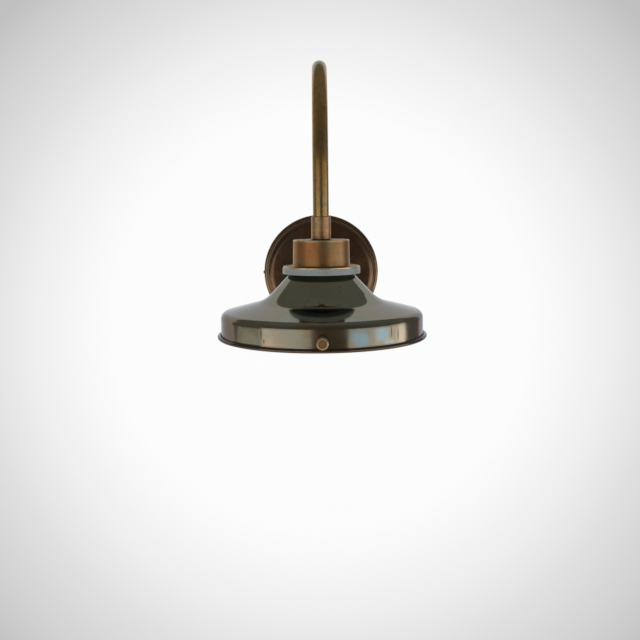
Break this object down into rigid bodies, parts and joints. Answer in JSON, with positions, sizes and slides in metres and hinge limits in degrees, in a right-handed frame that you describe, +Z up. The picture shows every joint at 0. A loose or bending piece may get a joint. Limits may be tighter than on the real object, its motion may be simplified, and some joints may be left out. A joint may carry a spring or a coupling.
{
  "type": "gooseneck wall sconce",
  "caption": "Gooseneck wall sconce: round stepped wall plate, swan-neck tube arm and a flared spun metal shade with a rolled rim, holding a flat glass with thumb screws.",
  "frame": {"origin": "centre of the wall plate's back, on the wall's surface", "axes": "+Z up, +Y into the wall, +X to the right seen from the room; the lamp hangs out along -Y"},
  "size_m": [0.1716, 0.3214, 0.265],
  "materials": {
    "aged_brass": "dark patinated, satin",
    "shade_brass": "dark patinated, glossy",
    "turned_brass": "aged, satin, turned",
    "plain_brass": "bright, machined",
    "steel": "zinc plated",
    "grey_silicone": "matte",
    "clear_silicone": "matte",
    "white_nylon": "matte",
    "ceramic": "unglazed steatite",
    "frosted_glass": "frosted inside",
    "lamp_glass": "clear",
    "brown_lead": "silicone insulation",
    "blue_lead": "silicone insulation",
    "green_lead": "silicone insulation",
    "nickel": "nickel plated"
  },
  "bodies": {
    "fixture": {"wall_plate": "aged_brass", "mounting_strap": "steel", "plate_side_screws": "steel", "earth_screw": "plain_brass", "earth_ring_tag": "nickel", "terminal_block": "white_nylon", "terminal_clamps": "plain_brass", "terminal_screws": "steel", "block_fixing_screws": "steel", "arm_collar": "turned_brass", "rear_nipple": "plain_brass", "rear_tooth_washer": "steel", "rear_lock_nut": "plain_brass", "wall_cable_bush": "white_nylon", "gooseneck_arm": "aged_brass", "live_lead": "brown_lead", "neutral_lead": "blue_lead", "earth_lead": "green_lead", "arm_coupler": "turned_brass", "coupler_grub_screw": "steel", "front_nipple": "plain_brass", "earth_tab_washer": "nickel", "front_lock_nut": "plain_brass", "lamp_cable_bush": "white_nylon", "lamp_cap": "turned_brass", "neck_gasket": "grey_silicone", "shade": "shade_brass", "shade_clamp_ring": "plain_brass", "lampholder_bracket": "steel", "lampholder_body": "ceramic", "lampholder_contacts": "nickel", "lampholder_screws": "steel", "lamp_envelope": "lamp_glass", "lamp_base": "ceramic", "lamp_pins": "nickel", "glass_lens": "frosted_glass", "glass_gasket": "clear_silicone", "screw_bosses": "turned_brass"},
    "tip_front": {"screw_tip_front": "white_nylon"},
    "screw_front": {"thumb_screw_front": "turned_brass"},
    "tip_right": {"screw_tip_right": "white_nylon"},
    "screw_right": {"thumb_screw_right": "turned_brass"},
    "tip_left": {"screw_tip_left": "white_nylon"},
    "screw_left": {"thumb_screw_left": "turned_brass"}
  },
  "joints": [
    {"name": "thumb_travel_front", "type": "slide", "parent": "fixture", "child": "tip_front", "axis": [0, -1, 0], "range_m": [0, 0.006]},
    {"name": "thumb_turn_front", "type": "hinge", "parent": "tip_front", "child": "screw_front", "pos_m": [0, -0.3137, -0.0289], "axis": [0, -1, 0], "range_deg": [0, 3086]},
    {"name": "thumb_travel_right", "type": "slide", "parent": "fixture", "child": "tip_right", "axis": [0.866, 0.5, 0], "range_m": [0, 0.006]},
    {"name": "thumb_turn_right", "type": "hinge", "parent": "tip_right", "child": "screw_right", "pos_m": [0.07162, -0.18965, -0.0289], "axis": [0.866, 0.5, 0], "range_deg": [0, 3086]},
    {"name": "thumb_travel_left", "type": "slide", "parent": "fixture", "child": "tip_left", "axis": [-0.866, 0.5, 0], "range_m": [0, 0.006]},
    {"name": "thumb_turn_left", "type": "hinge", "parent": "tip_left", "child": "screw_left", "pos_m": [-0.07162, -0.18965, -0.0289], "axis": [-0.866, 0.5, 0], "range_deg": [0, 3086]}
  ],
  "couplings": [
    {"joint": "thumb_turn_front", "follows": "thumb_travel_front", "rad_per_m": 8976},
    {"joint": "thumb_turn_right", "follows": "thumb_travel_right", "rad_per_m": 8976},
    {"joint": "thumb_turn_left", "follows": "thumb_travel_left", "rad_per_m": 8976}
  ]
}
